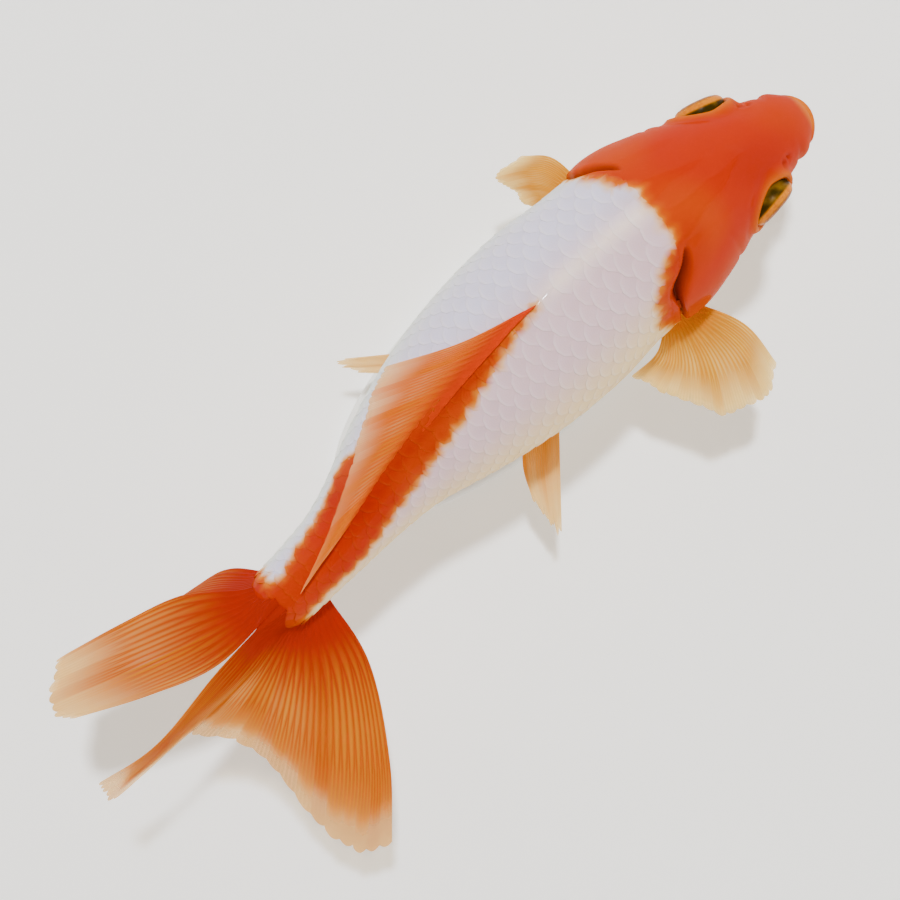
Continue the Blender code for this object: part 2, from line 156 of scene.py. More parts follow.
def sectionAt(station, angle):  # side and rise on the outline: an oval, rounded off at both ends
    station, angle = np.broadcast_arrays(np.asarray(station, float), np.radians(np.asarray(angle, float)))
    halfWidth, above, below, middle = np.moveaxis(smoothTable(bodySections, station), -1, 0)
    nose = np.sqrt(1.0 - np.clip(1.0 - station / fish["noseLength"], 0.0, 1.0) ** 2)
    end = np.sqrt(1.0 - np.clip((station - fish["tailRoot"]) / fish["tailRound"], 0.0, 1.0) ** 2)
    height = np.where(np.cos(angle) > 0, above, below)
    return halfWidth * nose * end * np.sin(angle), middle + height * nose * end * np.cos(angle)


def bodyPoint(station, angle):
    side, rise = sectionAt(station, angle)
    return toWorld(np.broadcast_to(station, side.shape), side, rise)


def bodyNormal(station, angle):  # cross product of the slopes round and along the body
    station, angle = np.broadcast_arrays(np.asarray(station, float), np.asarray(angle, float))
    near = np.clip(station - 0.02, 0.001, None)
    far = np.clip(station + 0.02, None, fish["tailRoot"] + fish["tailRound"] - 0.001)
    along = bodyPoint(far, angle) - bodyPoint(near, angle)
    around = bodyPoint(station, angle + 0.5) - bodyPoint(station, angle - 0.5)
    n = np.cross(around, along)
    return n / np.linalg.norm(n, axis=-1, keepdims=True)


coat = {
    "vermilion": lin(170, 34, 0), "deepRed": lin(146, 14, 0), "orange": lin(184, 70, 0),
    "amber": lin(206, 120, 8), "straw": lin(234, 180, 84),
    "lavender": lin(212, 204, 228), "mauve": lin(222, 186, 194), "cream": lin(242, 210, 158),
    # slit is painted shade for the mouth slit, gill slits and nostril pits
    "belly": lin(242, 228, 200), "slit": lin(40, 3, 0), "ridgeHighlight": lin(255, 228, 216),
    "scaleRim": lin(248, 240, 234), "flankLeft": lin(224, 228, 224),
}


def markings(station, angle):  # millimetres inside the red, below 0 outside: the most of head, saddle, tail
    signed = signedAngle(angle)
    jag = 0.28 * np.sin(signed * 0.33) + 0.2 * np.sin(signed * 0.81 + 1.0)
    head = smoothTable(headMarking, signed)[..., 0] + jag - station
    edges = smoothTable(saddleMarking, station)
    perDegree = np.radians(1.0) * (smoothTable(bodySections, station)[..., 1])
    wave = 0.35 * np.sin(station * 2.4)
    saddle = np.minimum(signed - edges[..., 0], edges[..., 1] - signed) * perDegree + wave
    saddle = np.minimum(saddle, (station - 45.0) * 0.6)
    tail = station - 92.6 + 0.4 * np.sin(signed * 0.3)
    return np.maximum(np.maximum(head, saddle), tail)


def coatTint(station, angle, inside, points):  # colour from how deep inside the red a point is
    signed = signedAngle(angle)
    away = np.abs(signed)
    pearl = mix(coat["mauve"], coat["lavender"], ease(signed, -14.0, 30.0))
    pearl = mix(pearl, coat["cream"], ease(-signed, 34.0, 78.0))
    pearl = mix(pearl, coat["flankLeft"], ease(signed, 40.0, 80.0))
    pearl = mix(pearl, coat["belly"], ease(away, 96.0, 140.0))
    # painted highlight: a pale line along the ridge of the back, from the nape to the dorsal fin
    spine = bell(signed, 6.0) * ease(station, 24.0, 28.0) * (1.0 - ease(station, 40.0, 47.0))
    pearl = mix(pearl, coat["ridgeHighlight"], 0.8 * spine)
    # painted light: towards the sides and belly the red is mixed with orange, a painted glow of light through
    # the skin at its edges
    red = mix(coat["vermilion"], coat["orange"], ease(away, 50.0, 100.0) * 0.75)
    red = mix(red, coat["orange"], ease(ripple(points, 5.0), -0.1, 0.9) * 0.45)
    red = mix(red, coat["deepRed"], ease(ripple(points + 7.0, 4.0), 0.1, 1.0) * 0.35)
    red = mix(red, coat["amber"], ease(away, 120.0, 172.0) * 0.8)
    # a deep red line along the dorsal fin's base: partly its own colour, partly painted shade where the fin
    # meets the back
    along = ease(station, 45.0, 48.0) * (1.0 - ease(station, 84.0, 92.0))
    red = mix(red, coat["deepRed"], 0.5 * bell(signed + 3.0 + 0.05 * (station - 46.0), 5.0) * along)
    tint = mix(pearl, coat["straw"], 0.7 * ease(inside, -1.2, -0.3))
    tint = mix(tint, coat["amber"], ease(inside, -0.8, 0.2))
    tint = mix(tint, coat["orange"], ease(inside, -0.2, 0.7))
    return mix(tint, red, ease(inside, 0.5, 1.8))


def putMesh(name, points, faces, material, tint=None, cover=None, uv=None, uvName="OFBake"):
    mesh = bpy.data.meshes.new(name)
    mesh.from_pydata((points * mm).tolist(), [], faces)
    mesh.shade_smooth()
    if tint is not None:
        layer = mesh.color_attributes.new("tint", "FLOAT_COLOR", "POINT")
        rgba = np.concatenate((tint, np.ones((len(tint), 1))), axis=1)
        layer.data.foreach_set("color", rgba.astype(np.float32).ravel())
    if cover is not None:
        mesh.attributes.new("cover", "FLOAT", "POINT").data.foreach_set("value", cover.astype(np.float32))
    if uv is not None:
        corners = np.zeros(len(mesh.loops), np.int32)
        mesh.loops.foreach_get("vertex_index", corners)
        mesh.uv_layers.new(name=uvName).data.foreach_set("uv", uv[corners].astype(np.float32).ravel())
    mesh.materials.append(material)
    piece = bpy.data.objects.new(name, mesh)
    bpy.context.scene.collection.objects.link(piece)
    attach(piece, "root")
    return piece


def gridFaces(rows, columns, wrap=False, first=0):  # quads over a grid of points numbered row by row
    r, c = np.meshgrid(np.arange(rows - 1), np.arange(columns if wrap else columns - 1), indexing="ij")
    beside = (c + 1) % columns
    near = r * columns
    far = near + columns
    quads = np.stack((near + c, near + beside, far + beside, far + c), axis=-1)
    return (quads.reshape(-1, 4) + first).tolist()


def tubeFaces(rows, columns, start, end):  # a tube of rings with a fan to one point at each end
    c = np.arange(columns)
    beside = (c + 1) % columns
    last = (rows - 1) * columns
    fanA = np.stack((np.full(columns, start), beside, c), axis=-1).tolist()
    fanB = np.stack((np.full(columns, end), last + c, last + beside), axis=-1).tolist()
    return gridFaces(rows, columns, wrap=True) + fanA + fanB


def shellFaces(rows, columns):  # front and back of a sheet of points, joined round the rim
    count = rows * columns
    back = np.array(gridFaces(rows, columns)) + count
    front = (back - count)[:, ::-1]
    top = np.arange(columns)
    right = np.arange(1, rows) * columns + columns - 1
    bottom = (rows - 1) * columns + np.arange(columns - 2, -1, -1)
    left = np.arange(rows - 2, 0, -1) * columns
    rim = np.concatenate((top, right, bottom, left))
    after = np.roll(rim, -1)
    wall = np.stack((rim, after, after + count, rim + count), axis=-1)
    return np.concatenate((front, back, wall)).tolist()


class Socket:  # one output of a material's node; + - * / and ** add Math nodes
    def __init__(self, shade, out):
        self.shade = shade
        self.out = out

    def maths(self, operation, a, b):
        return self.shade.node("ShaderNodeMath", {"operation": operation}, {0: a, 1: b})

    def __add__(self, other):
        return self.maths("ADD", self, other)

    def __radd__(self, other):
        return self.maths("ADD", other, self)

    def __sub__(self, other):
        return self.maths("SUBTRACT", self, other)

    def __rsub__(self, other):
        return self.maths("SUBTRACT", other, self)

    def __mul__(self, other):
        return self.maths("MULTIPLY", self, other)

    def __rmul__(self, other):
        return self.maths("MULTIPLY", other, self)

    def __truediv__(self, other):
        return self.maths("DIVIDE", self, other)

    def __pow__(self, other):
        return self.maths("POWER", self, other)


class Shade:  # a material's nodes
    def __init__(self, name):
        self.material = bpy.data.materials.new(name)
        self.material.use_nodes = True
        self.tree = self.material.node_tree
        self.surface = self.tree.nodes["Principled BSDF"]
        self.output = self.tree.nodes["Material Output"]

    def join(self, target, value):
        if isinstance(value, Socket):
            self.tree.links.new(value.out, target)
        elif hasattr(target.default_value, "__len__") and len(target.default_value) == 4:
            target.default_value = (*tuple(value)[:3], 1.0)
        else:
            target.default_value = value

    def node(self, kind, settings=None, inputs=None, out=0):
        made = self.tree.nodes.new(kind)
        for key, value in (settings or {}).items():
            if key == "stops":
                while len(made.color_ramp.elements) < len(value):
                    made.color_ramp.elements.new(1.0)
                for element, (place, colour) in zip(made.color_ramp.elements, value):
                    element.position = place
                    element.color = (*colour, 1.0)
            else:
                setattr(made, key, value)
        for key, value in (inputs or {}).items():
            self.join(made.inputs[key], value)
        return Socket(self, made.outputs[out])

    def attribute(self, name, out="Fac"):
        return self.node("ShaderNodeAttribute", {"attribute_name": name}, out=out)

    def place(self):  # Object coordinates, in metres
        return self.node("ShaderNodeTexCoord", out="Object")

    def noise(self, scale, detail=3.0, roughness=0.5, at=None):
        values = {"Vector": at or self.place(), "Scale": scale, "Detail": detail, "Roughness": roughness}
        return self.node("ShaderNodeTexNoise", {}, values, out="Fac")

    def blend(self, factor, a, b, how="MIX"):  # colours only
        settings = {"data_type": "RGBA", "blend_type": how}
        return self.node("ShaderNodeMix", settings, {0: factor, 6: a, 7: b}, out=2)

    def ramp(self, value, low, high):  # smooth 0 to 1
        return self.node("ShaderNodeMapRange", {"interpolation_type": "SMOOTHSTEP"},
                         {"Value": value, "From Min": low, "From Max": high})

    def bump(self, height, strength, distance):
        return self.node("ShaderNodeBump", {}, {"Height": height, "Strength": strength, "Distance": distance})

    def set(self, **values):
        for key, value in values.items():
            self.join(self.surface.inputs[key.replace("_", " ")], value)


skinFinish = {
    "roughness": 0.45, "coat": 0.11, "coatRoughness": 0.07, "softness": 0.08, "specular": 0.0,
    "poreScale": 2600.0, "poreDepth": 0.00004,
}


def skinMaterial(name, scaly):  # wet, slightly translucent skin that takes its colour from its tint
    shade = Shade(name)
    tint = shade.attribute("tint", "Color")
    cloud = shade.noise(420.0, 4.0)
    fine = shade.noise(skinFinish["poreScale"], 3.0)
    colour = shade.blend(shade.ramp(cloud, 0.35, 0.75) * 0.12, tint, lin(255, 236, 214), "MULTIPLY")
    colour = shade.blend(shade.ramp(fine, 0.45, 0.8) * 0.10, colour, lin(255, 196, 120), "SOFT_LIGHT")
    shade.set(Base_Color=colour, Roughness=skinFinish["roughness"] + (cloud - 0.5) * 0.18,
              Coat_Weight=skinFinish["coat"], Coat_Roughness=skinFinish["coatRoughness"],
              Specular_IOR_Level=skinFinish["specular"],
              Subsurface_Weight=skinFinish["softness"], Subsurface_Radius=(1.0, 0.45, 0.2),
              Subsurface_Scale=0.0015)
    height = fine * 0.5 + cloud
    if scaly:
        spot = shade.node("ShaderNodeUVMap", {"uv_map": "scaleAt"})
        reach = shade.node("ShaderNodeVectorMath", {"operation": "LENGTH"}, {0: spot}, out="Value")
        rings = shade.node("ShaderNodeMath", {"operation": "SINE"}, {0: reach * 46.0})
        height = height + rings * 0.22
    shade.set(Normal=shade.bump(height, 0.35, skinFinish["poreDepth"]))
    return shade.material


skin = {
    "columns": 256, "noseRows": 30, "headStep": 0.24, "bodyStep": 0.42,
    "headEnd": 33.0, "endRows": 14,
    "ridgeHeight": 0.32, "ridgeWidth": 5.0,
    "mouthRise": -2.6, "mouthSlope": 0.55, "mouthBack": 2.9, "slitDepth": 1.2,
    "lipHeight": 0.42, "notchStation": 4.9, "notchDepth": 0.42,
    "nostrilStation": 7.3, "nostrilAngle": 50.0,
    "gillRaise": 0.22, "gillSlit": 1.5,
}
eye = {
    "station": 12.0, "side": 7.3, "rise": 2.0, "radius": 3.6,
    "rows": 72, "sides": 72, "lookAhead": 0.22,
    # share of the way to the pupil's middle, distance out along the axis, distance from the axis:
    # the ball up to the white's edge, the iris as a shallow cone, its raised inner rim, and the pupil
    "profile": (
        (0.00, -2.75, 0.02), (0.12, -2.40, 1.60), (0.26, -1.50, 2.85), (0.36, -0.60, 3.35),
        (0.44, 0.25, 3.44), (0.50, 0.72, 3.30), (0.56, 1.06, 3.02), (0.64, 1.26, 2.66),
        (0.73, 1.38, 2.25), (0.80, 1.44, 1.99), (0.84, 1.40, 1.89), (0.88, 1.24, 1.79),
        (1.00, 1.20, 0.02),
    ),
    "white": (50, 38, 2), "whiteFleck": (110, 78, 4), "irisEdge": (206, 120, 0), "iris": (150, 84, 2),
    "irisLine": (110, 56, 2), "innerRim": (196, 132, 16), "pupil": (3, 2, 2),
    "corneaAt": 0.88, "corneaRise": 1.82, "corneaRadius": 3.20, "corneaThick": 0.10, "corneaRows": 24,
}


def headRelief(station, angle):  # outward shape of the head in millimetres, painted shade for its mouth slit, gill slits and nostril pits, and the eye's rim
    side, rise = sectionAt(station, angle)
    signed = signedAngle(angle)
    away = np.abs(signed)
    relief = np.zeros(side.shape)
    # mouth: a slit that slopes down to its corners, between two rolled lips
    m = rise - skin["mouthRise"] + skin["mouthSlope"] * station
    front = 1.0 - ease(station, skin["mouthBack"] - 1.1, skin["mouthBack"])
    mouthSlit = bell(m, 0.26) * front
    relief -= skin["slitDepth"] * mouthSlit
    relief += skin["lipHeight"] * (bell(m - 0.85, 0.48) + 0.9 * bell(m + 0.8, 0.46)) * front
    relief -= 0.16 * (bell(m - 1.75, 0.22) + bell(m + 1.7, 0.25)) * (1.0 - ease(station, 3.4, 4.6))
    # the fold behind the upper jaw
    fold = bell(station - skin["notchStation"] - 0.014 * (away - 85.0), 0.42) * bell(away - 92.0, 34.0)
    relief -= skin["notchDepth"] * fold
    relief += 0.22 * bell(station - skin["notchStation"] + 1.4, 0.9) * bell(away - 88.0, 30.0)
    # nostrils: two pits with a flap of skin between them
    perDegree = np.radians(1.0) * np.hypot(side, rise)
    across = (away - skin["nostrilAngle"]) * perDegree
    back = station - skin["nostrilStation"]
    pits = bell(np.hypot(back - 0.62, across), 0.36) + bell(np.hypot(back + 0.55, across), 0.32)
    relief -= 0.34 * pits
    relief += 0.26 * bell(back, 0.26) * bell(across, 0.55) + 0.08 * bell(np.hypot(back, across) - 1.15, 0.3)
    # eye sockets, with a low rim
    ring = np.hypot((station - eye["station"]) / eye["radius"], (rise - eye["rise"]) / eye["radius"])
    near = ease(np.abs(side), 3.6, 5.0)
    socket = (1.0 - ease(ring, 0.70, 0.95)) * near
    relief -= 1.5 * socket
    ahead = ease(eye["station"] - station, 0.3, 2.6)    # the rim stands higher in front of the eye
    relief += (0.45 + 0.55 * ahead) * bell(ring - 1.03, 0.15 + 0.05 * ahead) * near
    relief -= 0.08 * bell(ring - 1.42, 0.16) * near
    # cheek and gill cover
    edge = smoothTable(gillEdge, away)[..., 0]
    behind = station - edge
    opening = ease(away, 31.0, 40.0) * (1.0 - ease(away, 158.0, 172.0))
    wide = np.where(signed < 0, 0.80, 0.30) * bell(away - 52.0, 11.0) + 0.2
    slit = bell(behind - 0.5 * wide, wide) * opening
    relief += skin["gillRaise"] * (1.0 - ease(behind, -0.5, 0.1)) * ease(station, 15.5, 20.0) * opening
    relief -= skin["gillSlit"] * slit
    arc = station - 19.0 - 2.2 * (1.0 - np.sin(np.radians(np.clip(away, 0.0, 180.0))))
    relief -= 0.20 * bell(arc, 0.35) * bell(away - 100.0, 42.0)
    relief += 0.10 * bell(arc + 1.1, 0.8) * bell(away - 100.0, 42.0)
    swell = np.sin(station * 0.9 + signed * 0.05) * np.sin(signed * 0.11 + station * 0.3)
    relief += 0.035 * swell * ease(station, 4.0, 8.0) * (1.0 - ease(station, 24.0, 29.0))
    # painted shade: a dark mask over the mouth slit, the gill slits and the nostril pits
    recessShade = np.clip(mouthSlit + slit + 0.35 * pits, 0.0, 1.0)
    return relief, recessShade, bell(ring - 1.0, 0.16) * near


def keelHeight(station, angle):  # a low ridge along the back ahead of the dorsal fin
    along = ease(station, 22.0, 30.0) * (1.0 - ease(station, 42.0, 50.0))
    return skin["ridgeHeight"] * bell(signedAngle(angle), skin["ridgeWidth"]) * along


def buildSkin(material):  # outline points moved along their normals by the relief, less the skin's depth
    turn = np.linspace(0.0, math.pi / 2.0, skin["noseRows"] + 1)[1:]
    rearTurn = np.linspace(0.0, math.pi / 2.0, skin["endRows"] + 1)[:-1]
    nose = fish["noseLength"] * (1.0 - np.cos(turn))
    head = np.arange(fish["noseLength"] + skin["headStep"], skin["headEnd"], skin["headStep"])
    body = np.arange(skin["headEnd"], fish["tailRoot"], skin["bodyStep"])
    end = fish["tailRoot"] + fish["tailRound"] * np.sin(rearTurn)
    rows = np.concatenate((nose, head, body, end))[:, None]
    angle = (np.arange(skin["columns"]) * 360.0 / skin["columns"])[None, :]
    station, angle = np.broadcast_arrays(rows, angle)
    relief, recessShade, rim = headRelief(station, angle)
    signed = signedAngle(angle)
    relief = relief + keelHeight(station, angle)
    relief = relief - 0.5 * bell(np.hypot(station - 64.5, (np.abs(signed) - 180.0) * 0.27), 0.5)  # the vent
    base = bodyPoint(station, angle)
    points = base + bodyNormal(station, angle) * (relief - fish["skinDepth"])[..., None]
    tint = coatTint(station, angle, markings(station, angle), base)
    tint = mix(tint, coat["amber"], 0.45 * rim)
    tint = mix(tint, coat["amber"], 0.5 * (1.0 - ease(station, 0.4, 1.6)))
    # painted shade: near-black laid into the mouth slit, gill slits and nostril pits
    tint = mix(tint, coat["slit"], 0.9 * recessShade)
    count = rows.size
    front = toWorld(np.array(0.0), 0.0, bodySections[0][4]) + np.array((-fish["skinDepth"], 0.0, 0.0))
    rear = toWorld(np.array(fish["tailRoot"] + fish["tailRound"]), 0.0, 0.0)
    points = np.concatenate((points.reshape(-1, 3), front[None], rear[None]))
    tint = np.concatenate((tint.reshape(-1, 3), tint[0].mean(axis=0)[None], tint[-1].mean(axis=0)[None]))
    faces = tubeFaces(count, skin["columns"], count * skin["columns"], count * skin["columns"] + 1)
    piece = putMesh("skin", points, faces, material, tint)
    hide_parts("head", "trunk", "tail_stalk", "gill_cover_left", "gill_cover_right")


scales = {
    "frontPitch": 2.6, "rearPitch": 1.95, "frontRow": 2.5, "rearRow": 1.95,
    "lateralAngle": 93.0, "first": 22.6, "last": 94.6, "rowsEachWay": 11,
    "length": 0.92, "width": 1.06, "centre": -0.36,    # half length and width in pitches and rows
    "gap": 2.3, "tuck": 0.02, "lift": 0.17, "crown": 0.06, "edge": 0.13, "sides": 12,
}


def scalePlaces():  # station and angle of every scale: rows at even arc lengths from the lateral line
    span = scales["last"] - scales["first"]
    t = np.linspace(0.0, 1.0, 2000)
    pitch = scales["frontPitch"] + (scales["rearPitch"] - scales["frontPitch"]) * t
    perScale = 0.5 * (1.0 / pitch[1:] + 1.0 / pitch[:-1]) * np.diff(t) * span
    step = np.concatenate(([0.0], np.cumsum(perScale)))
    half = np.arange(0, int(step[-1] * 2))
    stations = np.interp(half * 0.5, step, scales["first"] + t * span)
    row = np.arange(-scales["rowsEachWay"], scales["rowsEachWay"] + 1)
    column, row = np.meshgrid(half, row, indexing="ij")
    chosen = (column + row) % 2 == 0
    station = stations[column[chosen]]
    row = row[chosen]
    turn = np.arange(0.0, 181.0, 1.0)[None, :]
    ring = bodyPoint(station[:, None], turn)
    lengths = np.cumsum(np.linalg.norm(np.diff(ring, axis=1), axis=-1), axis=1)
    arc = np.concatenate((np.zeros((len(station), 1)), lengths), axis=1)
    along = (station - scales["first"]) / span
    spacing = scales["frontRow"] + (scales["rearRow"] - scales["frontRow"]) * along
    middle = arc[:, int(scales["lateralAngle"])]
    wanted = middle + row * spacing
    keep = (wanted > 0.45 * spacing) & (wanted < arc[:, -1] - 0.45 * spacing)
    cell = np.clip((arc < wanted[:, None]).sum(axis=1), 1, 180)
    pick = np.arange(len(station))
    low = arc[pick, cell - 1]
    angle = cell - 1 + (wanted - low) / (arc[pick, cell] - low)
    station, angle, spacing, row = station[keep], angle[keep], spacing[keep], row[keep]
    station = np.concatenate((station, station))
    angle = np.concatenate((angle, -angle))
    spacing = np.concatenate((spacing, spacing))
    lateral = np.concatenate((row, row)) == 0
    backRow = stations[::2]
    ends = (scales["first"], scales["last"])
    spacingBack = np.interp(backRow, ends, (scales["frontRow"], scales["rearRow"]))
    station = np.concatenate((station, backRow, backRow))
    angle = np.concatenate((angle, np.zeros(len(backRow)), np.full(len(backRow), 180.0)))
    spacing = np.concatenate((spacing, spacingBack, spacingBack))
    lateral = np.concatenate((lateral, np.zeros(2 * len(backRow), bool)))
    clear = station > smoothTable(gillEdge, np.abs(signedAngle(angle)))[..., 0] + scales["gap"]
    return station[clear], angle[clear], spacing[clear], lateral[clear]


def buildScales(material):  # discs over the outline, each rising from its root to its free rear edge
    station, angle, spacing, lateral = scalePlaces()
    number = len(station)
    along = (station - scales["first"]) / (scales["last"] - scales["first"])
    pitch = scales["frontPitch"] + (scales["rearPitch"] - scales["frontPitch"]) * along
    jitter = speck(np.arange(number)) - 0.5
    # a disc: the middle, four rings, a last ring turned down as the scale's edge, and the underside's middle
    reach = np.array((0.0, 0.45, 0.78, 0.95, 1.0, 1.0))
    turn = np.arange(scales["sides"]) * 2.0 * math.pi / scales["sides"]
    ringReach = np.repeat(reach[1:], scales["sides"])
    ringTurn = np.tile(turn, len(reach) - 1)
    x = np.concatenate(([0.0], ringReach * np.cos(ringTurn), [0.0]))
    y = np.concatenate(([0.0], ringReach * np.sin(ringTurn), [0.0]))
    r = np.concatenate(([0.0], ringReach, [0.0]))
    last = np.zeros(len(x))
    last[-scales["sides"] - 1:] = 1.0
    size = 1.0 + 0.06 * jitter[:, None]
    back = (scales["centre"] + scales["length"] * x)[None, :] * pitch[:, None] * size
    wide = scales["width"] * y[None, :] * spacing[:, None] * size
    turnPer = np.linalg.norm(bodyPoint(station, angle + 1.0) - bodyPoint(station, angle - 1.0), axis=-1) / 2.0
    s = np.clip(station[:, None] + back, 0.5, fish["tailRoot"] + fish["tailRound"] - 0.2)
    a = angle[:, None] + wide / turnPer[:, None]
    slope = (x[None, :] + 1.0) / 2.0
    height = scales["tuck"] + scales["lift"] * slope * (1.0 + 0.25 * jitter[:, None])
    height = height - scales["crown"] * y[None, :] ** 2 * (0.5 + slope) - scales["edge"] * last[None, :]
    tube = bell(y[None, :], 0.16) * bell(x[None, :] - 0.45, 0.4) * lateral[:, None]
    height = height + 0.07 * tube
    relief, recessShade, _ = headRelief(s, a)
    past = s - smoothTable(gillEdge, np.abs(signedAngle(a)))[..., 0]
    height = height + np.where(past > 0.0, relief, 0.0) - 0.9 * (1.0 - ease(past, 0.7, 1.4))
    base = bodyPoint(s, a)
    points = base + bodyNormal(s, a) * (height - fish["skinDepth"] + keelHeight(s, a))[..., None]
    # how deep each point sits in the red comes a tenth from its scale's middle, with a random shift, and nine
    # tenths from the point's own place, so the edges of the red are slightly scalloped
    inside = markings(station + 0.2, angle)[:, None] + 0.9 * jitter[:, None]
    inside = 0.10 * inside + 0.90 * markings(s, a)
    tint = coatTint(s, a, inside, base)
    paleness = ease(-inside, 0.2, 1.0)
    rim = ease(x[None, :], 0.35, 0.95) * ease(r[None, :], 0.7, 0.97)
    tint = mix(tint, coat["scaleRim"], 0.24 * rim * paleness)
    tint = mix(tint, coat["orange"], 0.18 * rim * (1.0 - paleness))
    middleShade = bell(r[None, :], 0.75) * paleness
    tint = tint * (1.0 - 0.07 * middleShade * (0.6 + speck(np.arange(number) + 500)[:, None]))[..., None]
    # painted shade: near-black laid into the gill slits where the scales reach them
    tint = mix(tint, coat["slit"], 0.9 * recessShade)
    # bake patches: one small square for each scale at its place on an even unwrap of the skin
    uv = np.stack((station / 100.0, signedAngle(angle) / 360.0 + 0.5), axis=-1)[:, None, :]
    uv = np.clip(uv, 0.01, 0.99) + 0.0015 * np.stack((x, y), axis=-1)[None, :, :]
    local = np.broadcast_to(np.stack((x, y), axis=-1), (number, len(x), 2))
    sides = scales["sides"]
    c = np.arange(sides)
    beside = (c + 1) % sides
    rings = len(reach) - 1
    edge = 1 + (rings - 1) * sides    # first point of the last ring
    top = np.stack((np.zeros(sides, int), 1 + beside, 1 + c), axis=-1)
    under = np.stack((np.full(sides, edge + sides), edge + c, edge + beside), axis=-1)
    fan = np.concatenate((top, under))
    quads = np.array(gridFaces(rings, sides, wrap=True, first=1))
    offset = (np.arange(number) * len(x))[:, None, None]
    faces = (fan[None] + offset).reshape(-1, 3).tolist() + (quads[None] + offset).reshape(-1, 4).tolist()
    points = points.reshape(-1, 3)
    piece = putMesh("scales", points, faces, material, tint.reshape(-1, 3), uv=uv.reshape(-1, 2))
    layer = piece.data.uv_layers.new(name="scaleAt")
    corners = np.zeros(len(piece.data.loops), np.int32)
    piece.data.loops.foreach_get("vertex_index", corners)
    layer.data.foreach_set("uv", local.reshape(-1, 2)[corners].astype(np.float32).ravel())
    print("scales:", number)


def turned(profile, sides, centre, out, forward):  # a profile of (axial, radial) points spun about an axis
    up = np.cross(out, forward)
    turn = np.arange(sides) * 2.0 * math.pi / sides
    ring = np.cos(turn)[:, None] * forward + np.sin(turn)[:, None] * up
    return centre + profile[:, None, 0:1] * out + profile[:, None, 1:2] * ring[None]


def eyeMaterial():
    shade = Shade("eyeWet")
    tint = shade.attribute("tint", "Color")
    fleck = shade.noise(1900.0, 4.0, 0.6)
    colour = shade.blend(shade.ramp(fleck, 0.35, 0.75) * 0.45, tint, lin(120, 70, 20), "OVERLAY")
    shade.set(Base_Color=colour, Roughness=0.35, Coat_Weight=0.06, Coat_Roughness=0.03,
              Specular_IOR_Level=0.03)
    return shade.material


def corneaMaterial():
    shade = Shade("corneaClear")
    haze = shade.noise(500.0, 2.0)
    shade.set(Base_Color=lin(110, 56, 4), Roughness=0.03 + haze * 0.03, IOR=1.38, Alpha=0.015)
    return shade.material


def domeProfile(inset):  # a quarter oval of (axial, radial) points from the tip to the rim, set in evenly
    turn = np.linspace(0.02, math.pi / 2.0, eye["corneaRows"])
    rise = eye["corneaRise"] - inset
    radius = eye["corneaRadius"] - inset
    return np.stack((eye["corneaAt"] + rise * np.cos(turn), radius * np.sin(turn)), axis=-1)


def buildEyes():  # a profile spun about an axis that looks outwards and a little ahead
    wet = eyeMaterial()
    clear = corneaMaterial()
    for side, word in ((1, "left"), (-1, "right")):
        centre = toWorld(np.array(eye["station"]), side * eye["side"], eye["rise"])
        ahead = toWorld(np.array(eye["station"] - 1.0), 0.0, 0.0)
        forward = ahead - toWorld(np.array(eye["station"] + 1.0), 0.0, 0.0)
        forward /= np.linalg.norm(forward)
        out = np.cross(np.array((0.0, 0.0, 1.0)), forward) * side + eye["lookAhead"] * forward
        out /= np.linalg.norm(out)
        forward = forward - out * (forward @ out)
        forward /= np.linalg.norm(forward)
        if side < 0:
            forward = -forward
        t = np.linspace(0.0, 1.0, eye["rows"])
        profile = smoothTable(eye["profile"], t)
        grid = turned(profile, eye["sides"], centre, out, forward)
        spin = np.arange(eye["sides"])[None, :]
        tt = np.broadcast_to(t[:, None], grid.shape[:2])
        tint = mix(lin(*eye["white"]), lin(*eye["whiteFleck"]), ease(ripple(grid, 0.5), -0.2, 0.8))
        iris = mix(lin(*eye["irisEdge"]), lin(*eye["iris"]), ease(tt, 0.53, 0.6))
        lines = 0.45 * ease(speck(spin), 0.62, 1.0) * ease(tt, 0.5, 0.6)
        iris = mix(iris, lin(*eye["irisLine"]), lines)
        tint = mix(tint, iris, ease(tt, 0.43, 0.47))
        tint = mix(tint, lin(*eye["innerRim"]), ease(tt, 0.77, 0.79))
        tint = mix(tint, lin(*eye["pupil"]), ease(tt, 0.825, 0.84))
        back = centre + out * profile[0, 0]
        front = centre + out * profile[-1, 0]
        points = np.concatenate((grid.reshape(-1, 3), back[None], front[None]))
        tint = np.concatenate((tint.reshape(-1, 3), tint[0, :1], tint[-1, :1]))
        count = eye["rows"] * eye["sides"]
        faces = tubeFaces(eye["rows"], eye["sides"], count, count + 1)
        ball = putMesh("eyeball_" + word, points, faces, wet, tint)
        # cornea: an outer and an inner dome joined round the rim
        lens = np.concatenate((domeProfile(0.0), domeProfile(eye["corneaThick"])[::-1]))
        grid = turned(lens, eye["sides"], centre, out, forward)
        reach = eye["corneaAt"] + eye["corneaRise"]
        tips = centre + np.outer((reach, reach - eye["corneaThick"]), out)
        points = np.concatenate((grid.reshape(-1, 3), tips))
        faces = tubeFaces(len(lens), eye["sides"], len(lens) * eye["sides"], len(lens) * eye["sides"] + 1)
        cornea = putMesh("cornea_" + word, points, [face[::-1] for face in faces], clear)
        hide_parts("eye_" + word)


